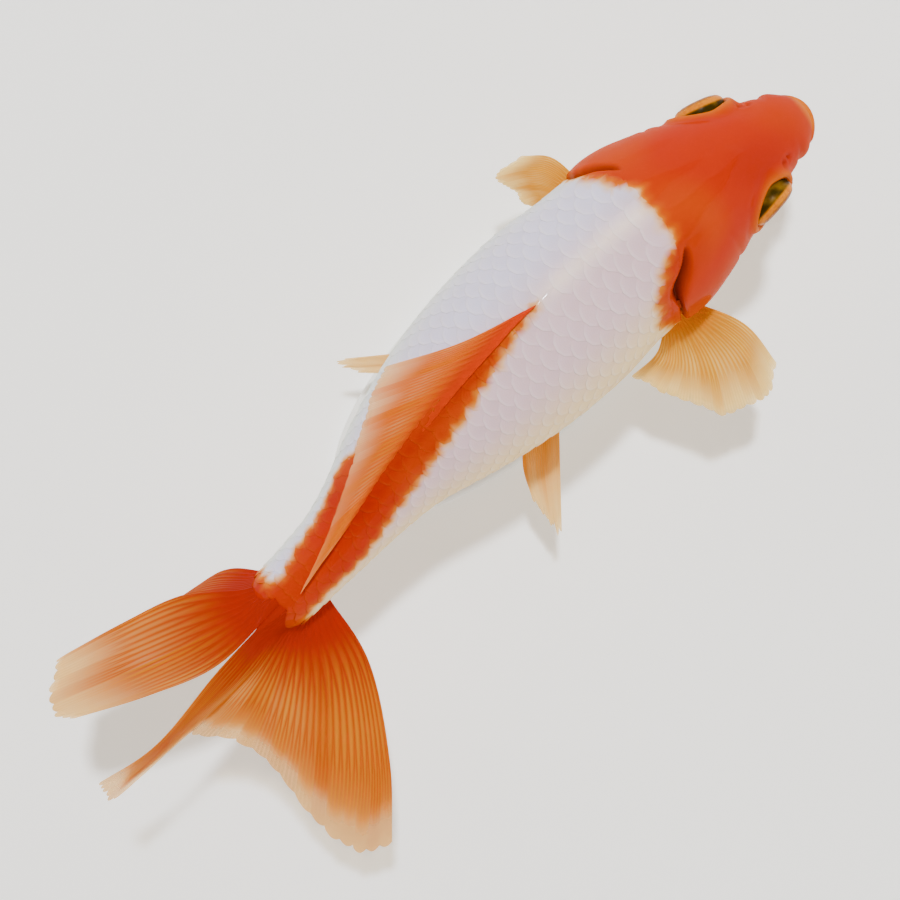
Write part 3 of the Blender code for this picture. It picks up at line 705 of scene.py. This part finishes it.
finLook = {
    "membrane": 0.08, "ray": 0.085, "rootThick": 0.75, "rootReach": 0.16,
    "branchOne": (0.22, 0.42), "branchTwo": (0.52, 0.74),
    "columnsPerRay": 12, "sink": (1.6, 1.6), "fadeRear": 1.0, "redTo": (0.08, 0.42),
    "streakAt": 0.5, "streakWide": 9.0, "between": (226, 156, 14),
}
breastLook = {
    "rays": 17, "scallop": 0.02, "root": (214, 130, 4), "mid": (222, 162, 20), "tip": (252, 228, 160),
    "between": (246, 208, 96), "thin": 0.4,
}
lowerLook = {
    "scallop": 0.02, "root": (224, 132, 6), "mid": (234, 164, 36), "tip": (250, 222, 158),
    "clear": (0.9, 1.04), "thin": 0.4, "contrast": 0.5,
}
fins = {
    "dorsalFin": {
        "nodes": ("dorsal_fin",), "sink": (0.15, 1.4), "rays": 22, "scallop": 0.012, "rows": 70,
        "root": (222, 66, 0), "mid": (232, 118, 0), "tip": (250, 216, 172),
        "fade": (0.64, 1.08), "fadeRear": 0.2,
        "clear": (0.93, 1.05), "thin": 0.35, "contrast": 0.5,
        "table": (
            ((44.5, 0.0), (-10.5, 4.4, 17.3), (-19.6, 8.6, 15.0)),
            ((51.0, 0.0), (-15.3, 4.0, 16.4), (-22.9, 7.3, 14.4)),
            ((58.0, 0.0), (-20.4, 2.9, 14.9), (-26.7, 5.1, 13.2)),
            ((65.0, 0.0), (-26.0, 1.0, 13.2), (-31.1, 2.3, 11.6)),
            ((72.0, 0.0), (-33.0, -1.2, 10.9), (-37.5, -1.3, 9.6)),
            ((79.0, 0.0), (-40.8, -4.0, 8.9), (-46.6, -5.3, 8.0)),
        ),
    },
    "pectoralFinRight": {
        **breastLook, "nodes": ("pectoral_fin_right",), "rows": 70,
        "fade": (0.55, 1.0), "clear": (0.9, 1.04), "contrast": 0.9,
        "table": (
            ((27.8, -128.0), (19.8, -17.9, -10.2), (19.6, -25.2, -11.0)),
            ((28.6, -126.0), (17.0, -19.6, -10.9), (15.2, -27.6, -12.0)),
            ((29.4, -124.5), (13.2, -18.4, -11.4), (9.7, -25.2, -12.8)),
            ((30.2, -123.5), (10.3, -15.8, -11.8), (6.2, -18.5, -13.2)),
            ((31.0, -123.0), (9.0, -13.1, -11.8), (4.1, -13.3, -13.0)),
        ),
    },
    "pectoralFinLeft": {
        **breastLook, "nodes": ("pectoral_fin_left",), "rows": 60,
        "fade": (0.6, 1.0), "clear": (0.92, 1.04), "contrast": 0.55,
        "table": (
            ((27.8, 124.0), (15.9, 15.0, -11.4), (12.9, 18.6, -12.6)),
            ((28.6, 126.0), (13.6, 15.0, -13.0), (8.5, 18.9, -15.0)),
            ((29.4, 127.5), (12.6, 13.6, -14.8), (9.4, 16.4, -18.4)),
            ((30.2, 129.0), (12.0, 12.2, -16.4), (9.6, 14.2, -20.8)),
            ((31.0, 130.5), (11.6, 10.8, -17.0), (10.6, 11.6, -21.6)),
        ),
    },
    "pelvicFinRight": {
        **lowerLook, "nodes": ("pelvic_fin_right",), "rays": 9, "rows": 60, "fade": (0.45, 0.95),
        "table": (
            ((45.0, -164.0), (-8.0, -12.9, -19.2), (-17.0, -23.4, -20.2)),
            ((46.4, -165.0), (-11.4, -13.0, -19.8), (-17.1, -21.4, -20.9)),
            ((48.0, -166.0), (-13.4, -11.4, -20.0), (-16.6, -17.0, -21.0)),
        ),
    },
    "pelvicFinLeft": {
        **lowerLook, "nodes": ("pelvic_fin_left",), "rays": 9, "rows": 60, "fade": (0.45, 0.95),
        "table": (
            ((45.0, 164.0), (-13.0, 7.6, -20.4), (-23.2, 15.0, -21.4)),
            ((46.4, 165.0), (-13.6, 6.4, -21.4), (-24.0, 14.0, -23.2)),
            ((48.0, 166.0), (-13.0, 4.6, -21.6), (-20.6, 9.4, -24.4)),
        ),
    },
    "analFinRight": {
        **lowerLook, "nodes": ("anal_fin_right",), "rays": 8, "rows": 50, "fade": (0.4, 0.95),
        "table": (
            ((66.5, -174.0), (-31.0, -4.9, -20.2), (-35.4, -5.8, -24.6)),
            ((69.5, -174.0), (-34.6, -4.9, -18.4), (-39.6, -5.8, -22.2)),
            ((73.0, -174.0), (-37.6, -4.6, -14.6), (-41.0, -5.2, -16.6)),
        ),
    },
    "analFinLeft": {
        **lowerLook, "nodes": ("anal_fin_left",), "rays": 8, "rows": 50, "fade": (0.4, 0.95),
        "table": (
            ((66.5, 174.0), (-31.0, -1.5, -20.2), (-35.4, -0.6, -24.6)),
            ((69.5, 174.0), (-34.6, -1.5, -18.4), (-39.6, -0.6, -22.2)),
            ((73.0, 174.0), (-37.6, -1.8, -14.6), (-41.0, -1.2, -16.6)),
        ),
    },
    # each half of the tail is one sheet, from its upper lobe over the fork to its lower lobe
    "tailRight": {
        "nodes": ("caudal_upper_right", "caudal_lower_right"), "rays": 24, "scallop": 0.016, "rows": 110,
        "root": (180, 38, 0), "mid": (204, 104, 0), "tip": (238, 188, 98), "fade": (0.68, 1.1),
        "clear": (0.80, 0.93), "thin": 1.0, "contrast": 0.7, "redTo": (0.12, 0.62),
        "streakAt": 0.45, "streakWide": 0.22,
        "table": (
            ((-49.4, -4.6, 6.3), (-60.2, -5.5, 9.6), (-71.6, -7.2, 12.2), (-80.7, -5.8, 12.4)),
            ((-49.4, -5.3, 4.6), (-60.8, -6.6, 7.6), (-71.9, -7.8, 9.4), (-81.5, -7.2, 9.2)),
            ((-49.4, -5.8, 3.1), (-61.0, -7.6, 5.4), (-72.4, -8.2, 6.6), (-81.1, -8.9, 6.2)),
            ((-49.3, -6.2, 1.7), (-57.5, -8.2, 2.6), (-64.5, -8.8, 3.2), (-70.0, -8.9, 3.4)),
            ((-49.2, -6.5, 0.2), (-57.0, -8.6, 1.2), (-63.4, -9.5, 1.6), (-69.3, -9.6, 1.3)),
            ((-49.0, -6.8, -1.4), (-56.0, -10.3, -1.4), (-61.2, -12.6, -2.0), (-66.2, -14.6, -2.6)),
            ((-48.6, -7.0, -2.9), (-54.8, -12.8, -3.8), (-60.4, -17.4, -5.0), (-65.8, -21.3, -6.2)),
            ((-47.6, -7.1, -4.0), (-52.6, -15.4, -5.8), (-59.6, -23.2, -8.0), (-66.5, -29.7, -9.8)),
            ((-46.3, -6.9, -4.8), (-49.6, -17.4, -7.6), (-57.4, -28.2, -10.6), (-66.0, -36.4, -12.6)),
            ((-44.9, -6.3, -5.2), (-47.0, -17.9, -8.8), (-54.1, -29.9, -11.6), (-61.6, -38.6, -13.6)),
        ),
    },
    "tailLeft": {
        "nodes": ("caudal_upper_left", "caudal_lower_left"), "rays": 20, "scallop": 0.016, "rows": 110,
        "root": (180, 38, 0), "mid": (204, 104, 0), "tip": (246, 214, 150), "fade": (0.58, 1.02),
        "clear": (0.95, 1.04), "thin": 0.3, "contrast": 0.6, "redTo": (0.14, 0.62),
        "table": (
            ((-49.4, -4.4, 6.3), (-59.8, -5.0, 9.6), (-68.6, -2.1, 10.6), (-78.2, 2.4, 10.0)),
            ((-49.4, -3.6, 4.6), (-60.0, -2.2, 8.2), (-70.0, 0.8, 9.6), (-79.5, 4.1, 9.2)),
            ((-49.4, -3.0, 3.1), (-59.5, 1.0, 6.6), (-69.0, 4.3, 8.4), (-77.9, 7.3, 8.0)),
            ((-49.3, -2.6, 1.7), (-57.5, 4.0, 4.6), (-66.6, 7.1, 6.2), (-74.9, 9.1, 6.3)),
            ((-49.2, -2.3, 0.2), (-56.6, 3.3, 2.2), (-63.6, 5.5, 2.8), (-69.5, 6.5, 2.4)),
            ((-49.0, -2.0, -1.5), (-56.0, 3.6, -1.6), (-63.0, 5.2, -3.6), (-69.6, 5.4, -6.0)),
            ((-48.8, -1.8, -3.3), (-55.0, 3.7, -5.0), (-62.0, 4.8, -8.6), (-70.6, 4.2, -12.0)),
            ((-47.8, -1.6, -5.0), (-52.8, 3.6, -8.0), (-60.0, 4.2, -11.6), (-68.5, 3.2, -15.0)),
        ),
    },
}


def rayGrid(rays, across, along):  # Hermite curves through the rays, first from ray to ray, then root to tip
    rays = np.array(rays, float)
    count, points = rays.shape[:2]
    table = np.column_stack((np.arange(count), rays.reshape(count, -1)))
    dense = smoothTable(table, across * (count - 1)).reshape(len(across), points, 3)
    table = np.column_stack((np.arange(points), np.moveaxis(dense, 1, 0).reshape(points, -1)))
    return np.moveaxis(smoothTable(table, along * (points - 1)).reshape(len(along), len(across), 3), 1, 0)


def rayRelief(u, v, rays):  # height of the rays: each forks in two twice on its way to the margin
    phase = np.modf(u * rays)[0] - 0.5
    first = 0.25 * ease(v, *finLook["branchOne"])
    second = 0.125 * ease(v, *finLook["branchTwo"])
    off = np.abs(np.abs(np.abs(phase) - first) - second)
    width = 0.20 - 0.13 * ease(v, 0.1, 0.8)
    return bell(off, width)


def finMaterial():
    shade = Shade("finMembrane")
    tint = shade.attribute("tint", "Color")
    cover = shade.attribute("cover")
    cloud = shade.noise(700.0, 3.0)
    colour = shade.blend(shade.ramp(cloud, 0.4, 0.75) * 0.18, tint, lin(235, 170, 70), "SOFT_LIGHT")
    shade.set(Base_Color=colour, Roughness=0.5, Coat_Weight=0.03, Coat_Roughness=0.2, Specular_IOR_Level=0.03,
              Normal=shade.bump(shade.noise(2600.0, 2.0), 0.25, 0.00003))
    through = shade.node("ShaderNodeBsdfTranslucent", {}, {"Color": colour})
    clear = shade.node("ShaderNodeBsdfTransparent", {}, {"Color": lin(255, 244, 222)})
    solid = Socket(shade, shade.surface.outputs[0])
    body = shade.node("ShaderNodeMixShader", {}, {0: 0.5, 1: solid, 2: through})
    whole = shade.node("ShaderNodeMixShader", {}, {0: cover, 1: clear, 2: body})
    shade.tree.links.new(whole.out, shade.output.inputs["Surface"])
    return shade.material


def buildFin(name, choices, material):  # a middle sheet thickened both ways along its normals by the rays
    look = {**finLook, **choices}
    count = look["rays"] * finLook["columnsPerRay"] + 1
    u = np.linspace(0.0, 1.0, count)
    v = np.linspace(0.0, 1.0, look["rows"])
    rays = []
    sinks = np.linspace(*look["sink"], len(look["table"]))
    for ray, sink in zip(look["table"], sinks):
        points = [np.array(point, float) + (0.0, 0.0, fish["axisHeight"]) for point in ray if len(point) == 3]
        if len(ray[0]) == 2:
            root = bodyPoint(*ray[0]) - bodyNormal(*ray[0]) * sink
            points.insert(0, root)
        rays.append(points)
    middle = rayGrid(rays, u, v)
    uu, vv = np.meshgrid(u, v, indexing="ij")
    ray = np.floor(uu * look["rays"] * 0.9999)
    between = np.abs(np.modf(uu * look["rays"])[0] - 0.5) * 2.0
    shorten = look["scallop"] * (between ** 2 + 1.3 * speck(ray + 31.0) + 0.8 * np.sin(uu * 23.0))
    reach = v[None, :] - shorten * ease(vv, 0.55, 1.0)
    low = np.clip((reach * (len(v) - 1)).astype(int), 0, len(v) - 2)
    part = (reach * (len(v) - 1) - low)[..., None]
    column = np.arange(count)[:, None]
    middle = middle[column, low] * (1.0 - part) + middle[column, low + 1] * part
    normal = np.cross(np.gradient(middle, axis=0), np.gradient(middle, axis=1))
    normal /= np.linalg.norm(normal, axis=-1, keepdims=True)
    relief = rayRelief(uu, vv, look["rays"])
    side = np.sqrt(np.clip(np.minimum(uu, 1.0 - uu) * look["rays"] * 2.2, 0.0, 1.0))
    tip = np.sqrt(np.clip((1.0 - vv) * look["rows"] / 5.0, 0.0, 1.0))
    half = finLook["membrane"] + finLook["ray"] * relief * (1.0 - 0.72 * ease(vv, 0.2, 1.0))
    half = half + finLook["rootThick"] * (1.0 - ease(vv, 0.02, finLook["rootReach"]))
    half = half * (0.12 + 0.88 * side * tip)
    wave = 0.10 * np.sin(uu * 17.0 + vv * 5.0) * ease(vv, 0.4, 1.0)
    middle = middle + normal * wave[..., None]
    points = np.concatenate(((middle + normal * half[..., None]).reshape(-1, 3),
                             (middle - normal * half[..., None]).reshape(-1, 3)))
    # colour: red root, orange rays, paler between them, and a pale, half-clear margin
    fade = ease(vv + 0.16 * (speck(ray + 7.0) - 0.5), *look["fade"])
    fade = fade * (1.0 - (1.0 - look["fadeRear"]) * ease(uu, 0.42, 0.8))
    tint = mix(lin(*look["root"]), lin(*look["mid"]), ease(vv, *look["redTo"]))
    tint = mix(tint, lin(*look["tip"]), fade)
    pale = (1.0 - relief) * look["contrast"] * ease(vv, 0.16, 0.5) * (0.35 + 0.9 * speck(ray + 55.0))
    tint = mix(tint, lin(*look["between"]), pale * (1.0 - 0.6 * fade))
    tint = mix(tint, lin(*look["root"]), 0.22 * relief * ease(vv, 0.05, 0.3) * (1.0 - fade))
    clear = ease(vv + 0.05 * (speck(ray + 91.0) - 0.5), *look["clear"])
    middleRays = bell(uu - look["streakAt"], look["streakWide"])
    chosen = ease(speck(ray + 3.0), 0.2, 0.8) * ease(vv, 0.25, 0.6)
    streak = look["thin"] * middleRays * (1.0 - relief) * chosen
    tint = mix(tint, lin(*look["tip"]), 0.75 * streak)
    cover = 1.0 - 0.60 * clear - 0.32 * streak - 0.03 * (1.0 - relief) * ease(vv, 0.2, 0.6)
    cover = np.clip(cover, 0.16, 1.0)
    piece = putMesh(name, points, shellFaces(count, look["rows"]), material,
                    np.tile(tint.reshape(-1, 3), (2, 1)), np.tile(cover.ravel(), 2))
    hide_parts(*look["nodes"])


stand = {
    "edge": 1.1, "sides": 160, "collarRadius": 2.5, "collarHeight": 1.3,
    "collarAt": 4.0, "padRadius": 2.1,
}


def standMaterial():
    shade = Shade("standSatinWhite")
    grain = shade.noise(900.0, 4.0, 0.6)
    smudge = shade.noise(40.0, 2.0)
    colour = shade.blend(shade.ramp(grain, 0.3, 0.8) * 0.5, lin(240, 240, 237), lin(231, 230, 226))
    shade.set(Base_Color=colour, Roughness=0.34 + smudge * 0.16,
              Normal=shade.bump(grain, 0.12, 0.00005))
    return shade.material


def steelMaterial():
    shade = Shade("rodBrushedSteel")
    spot = shade.node("ShaderNodeMapping", {}, {"Vector": shade.place(), "Scale": (4000.0, 4000.0, 120.0)})
    brush = shade.noise(1.0, 3.0, 0.6, at=spot)
    colour = shade.blend(brush, lin(196, 196, 199), lin(222, 222, 224))
    shade.set(Base_Color=colour, Metallic=1.0, Roughness=0.22 + brush * 0.2,
              Normal=shade.bump(brush, 0.15, 0.00002))
    return shade.material


def padMaterial():
    shade = Shade("padSoftRubber")
    grain = shade.noise(1500.0, 3.0)
    colour = shade.blend(grain, lin(214, 212, 208), lin(190, 188, 184))
    shade.set(Base_Color=colour, Roughness=0.55 + grain * 0.2, Normal=shade.bump(grain, 0.3, 0.00004))
    return shade.material


def spun(name, profile, centre, sides, material, core=(0.0, 0.0)):  # (radius, height) pairs spun upright
    turn = np.arange(sides) * 2.0 * math.pi / sides
    r, z = np.array(profile, float).T
    x = centre[0] + (core[0] + r[:, None]) * np.cos(turn)
    y = centre[1] + (core[1] + r[:, None]) * np.sin(turn)
    grid = np.stack((x, y, np.broadcast_to(z[:, None], x.shape)), axis=-1)
    ends = np.array(((centre[0], centre[1], z[0]), (centre[0], centre[1], z[-1])))
    points = np.concatenate((grid.reshape(-1, 3), ends))
    faces = tubeFaces(len(r), sides, len(r) * sides, len(r) * sides + 1)
    return putMesh(name, points, faces, material)


def buildStand():  # profiles spun about upright axes at the middles of the frame's boxes
    low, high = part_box("stand_base")
    low = np.array(low) / mm
    high = np.array(high) / mm
    halfX, halfY = (high[0] - low[0]) / 2.0, (high[1] - low[1]) / 2.0
    bend = np.linspace(0.0, math.pi / 2.0, 8)
    edge = stand["edge"]
    top = np.stack((-edge + edge * np.cos(bend), high[2] - edge + edge * np.sin(bend)), axis=-1)
    profile = [(-0.35, 0.0), (0.0, 0.35)] + top.tolist() + [(-3.0, high[2])]
    satin = standMaterial()
    base = spun("stand_plinth", profile, (0.0, 0.0), stand["sides"], satin, (halfX, halfY))
    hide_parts("stand_base")
    steel = steelMaterial()
    rubber = padMaterial()
    for word in ("front", "rear"):
        low, high = (np.array(corner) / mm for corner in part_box("stand_rod_" + word))
        centre = ((low[0] + high[0]) / 2.0, (low[1] + high[1]) / 2.0)
        radius = (high[0] - low[0]) / 2.0
        foot = low[2] - 0.6
        head = high[2] - 0.5
        rod = [(radius, foot), (radius, head - 0.3), (radius - 0.3, head)]
        piece = spun("stand_rod_" + word + "_steel", rod, centre, 48, steel)
        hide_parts("stand_rod_" + word)
        r = stand["collarRadius"]
        bottom = stand["collarAt"]
        upper = bottom + stand["collarHeight"]
        collar = [(r, bottom - 0.3), (r, upper - 0.4), (r - 0.12, upper - 0.12), (r - 0.4, upper),
                  (radius + 0.02, upper)]
        spun("stand_collar_" + word, collar, centre, 48, steel)
        r = stand["padRadius"]
        pad = [(radius + 0.05, head - 1.6), (radius + 0.4, head - 1.3), (r - 0.1, head - 0.1),
               (r, head + 0.15), (r - 0.15, head + 0.4), (r - 0.7, head + 0.5)]
        spun("stand_pad_" + word, pad, centre, 48, rubber)


view = {
    "aim": (-20.4, -4.4), "height": 370.0, "turn": -42.0, "field": 19.9,
    "keyTilt": 13.0, "keyTurn": 48.0, "floor": 0.75, "curve": 0.3, "wall": 0.55, "floorGlow": 0.35,
    "skyGlow": 0.24,
    "coolLight": (0.93, 0.97, 1.0), "warmLight": (1.0, 0.90, 0.74),
}


def buildStage():  # camera, floor, lamps and sky
    camera = bpy.data.objects.new("camera", bpy.data.cameras.new("camera"))
    camera.data.angle = math.radians(view["field"])
    camera.location = (view["aim"][0] * mm, view["aim"][1] * mm, view["height"] * mm)
    camera.rotation_euler = (0.0, 0.0, math.radians(view["turn"]))
    bpy.context.scene.collection.objects.link(camera)
    bpy.context.scene.camera = camera
    # a flat round floor that curves up into a low wall
    bend = np.linspace(0.0, math.pi / 2.0, 16)
    rise = view["floor"] + view["curve"] * np.sin(bend[1:])
    r = np.concatenate((np.linspace(0.02, view["floor"], 12), rise, rise[-1:]))
    z = np.concatenate((np.zeros(12), view["curve"] * (1.0 - np.cos(bend[1:])), [view["wall"]]))
    turn = np.arange(96) * 2.0 * math.pi / 96
    height = np.broadcast_to(z[:, None], (len(r), 96))
    grid = np.stack((r[:, None] * np.cos(turn), r[:, None] * np.sin(turn), height), axis=-1)
    points = np.concatenate((grid.reshape(-1, 3), np.zeros((1, 3))))
    fan = [(len(r) * 96, (column + 1) % 96, column) for column in range(96)]
    mesh = bpy.data.meshes.new("floor")
    mesh.from_pydata(points.tolist(), [], gridFaces(len(r), 96, wrap=True) + fan)
    mesh.shade_smooth()
    floor = bpy.data.objects.new("floor", mesh)
    bpy.context.scene.collection.objects.link(floor)
    shade = Shade("floorPale")
    grain = shade.noise(260.0, 3.0)
    shade.set(Base_Color=shade.blend(grain, lin(250, 250, 250), lin(246, 246, 247)), Roughness=0.9,
              Specular_IOR_Level=0.1, Emission_Color=(*view["warmLight"], 1.0),
              Emission_Strength=view["floorGlow"])
    mesh.materials.append(shade.material)
    tilt = math.radians(view["keyTilt"])
    turn = math.radians(view["keyTurn"])
    key = np.array((math.sin(tilt) * math.cos(turn), math.sin(tilt) * math.sin(turn), math.cos(tilt)))
    for name, distance, size, power, aim in (
            ("keyLight", 1.1, 0.05, 15.2, key),
            ("fillLeft", 1.0, 0.5, 1.5, np.array((-0.2, 0.8, 0.75))),
            ("fillRight", 1.0, 0.5, 1.5, np.array((0.3, -0.8, 0.75))),
            ("fillFront", 1.0, 0.5, 1.1, np.array((0.9, 0.1, 0.7)))):
        lamp = bpy.data.lights.new(name, "AREA")
        lamp.size = size
        lamp.energy = power
        lamp.color = view["coolLight"] if name == "keyLight" else view["warmLight"]
        aim = aim / np.linalg.norm(aim)
        light = bpy.data.objects.new(name, lamp)
        light.location = tuple(aim * distance + np.array((-0.02, 0.0, 0.03)))
        light.rotation_euler = (0.0, math.acos(aim[2]), math.atan2(aim[1], aim[0]))
        bpy.context.scene.collection.objects.link(light)
    world = bpy.data.worlds.new("studio")
    world.use_nodes = True
    world.node_tree.nodes["Background"].inputs["Color"].default_value = (*view["warmLight"], 1.0)
    world.node_tree.nodes["Background"].inputs["Strength"].default_value = view["skyGlow"]
    bpy.context.scene.world = world


buildStage()
print("stage ready")
buildSkin(skinMaterial("skinWet", False))
print("skin ready")
buildScales(skinMaterial("scalePearl", True))
buildEyes()
print("eyes ready")
membrane = finMaterial()
for finName, finValues in fins.items():
    buildFin(finName, finValues, membrane)
print("fins ready")
buildStand()
print("stand ready")
